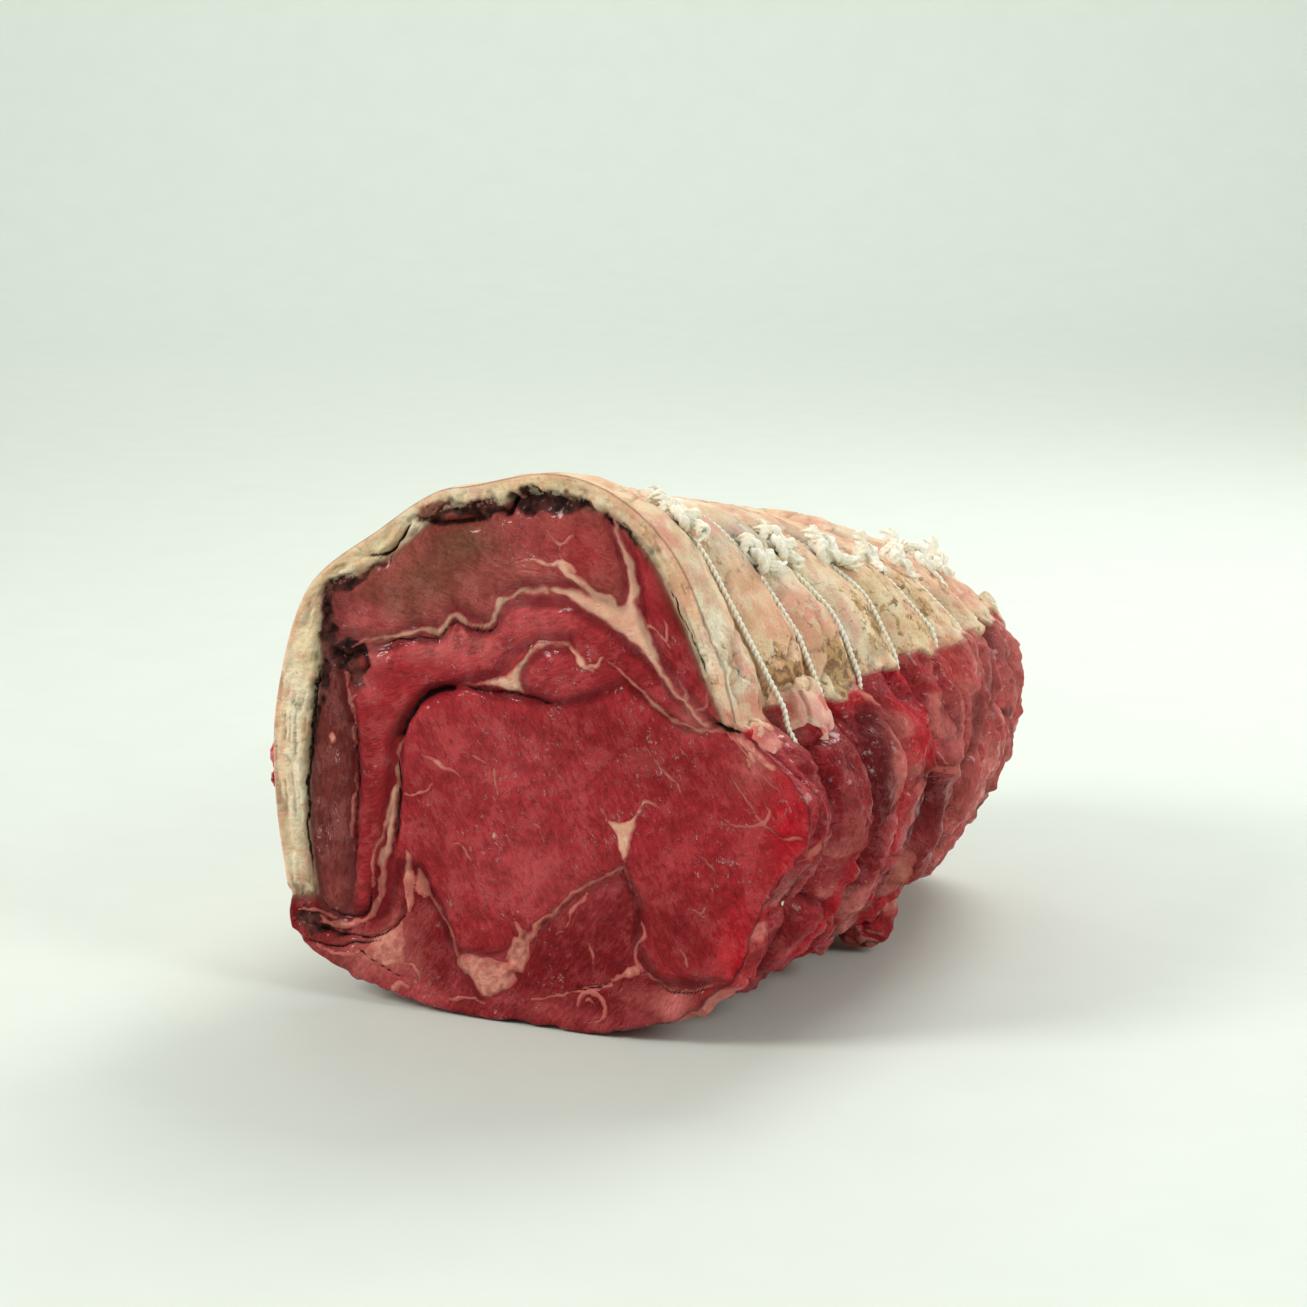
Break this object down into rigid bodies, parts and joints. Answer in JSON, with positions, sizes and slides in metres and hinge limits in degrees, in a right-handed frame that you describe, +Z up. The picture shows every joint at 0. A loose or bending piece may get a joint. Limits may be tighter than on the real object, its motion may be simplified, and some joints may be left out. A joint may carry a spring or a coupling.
{
  "type": "rolled beef rib joint",
  "caption": "Raw boned and rolled rib joint of beef with a fat cover, cut face with muscle seams, tied round with cotton string and knots.",
  "frame": {"origin": "middle of the underside, where the joint rests", "axes": "+Y along the joint from the shown cut face to the far end, +Z up, +X to the right as seen from the cut face"},
  "size_m": [0.173, 0.214, 0.1566],
  "materials": {
    "rib_eye": "moist raw lean beef",
    "cap_muscle": "moist raw lean beef",
    "top_muscle": "dark air-dried lean beef",
    "shoulder_muscle": "moist raw lean beef",
    "left_flap": "dark air-dried lean beef",
    "lower_muscle": "moist raw lean beef",
    "upper_seam_fat": "moist pink fat",
    "cap_seam_fat": "moist pink fat",
    "left_seam_fat": "moist pink fat",
    "lower_fat": "crumbly pink fat",
    "fat_cover": "dry cream fat",
    "string": "twisted cotton"
  },
  "bodies": {
    "root": {"rib_eye": "rib_eye", "cap_muscle": "cap_muscle", "top_muscle": "top_muscle", "shoulder_muscle": "shoulder_muscle", "left_flap": "left_flap", "lower_muscle": "lower_muscle", "upper_seam_fat": "upper_seam_fat", "cap_seam_fat": "cap_seam_fat", "left_seam_fat": "left_seam_fat", "lower_fat": "lower_fat", "fat_cover": "fat_cover", "string_1": "string", "string_2": "string", "string_3": "string", "string_4": "string", "string_5": "string", "string_6": "string", "string_7": "string", "string_8": "string"}
  },
  "joints": []
}
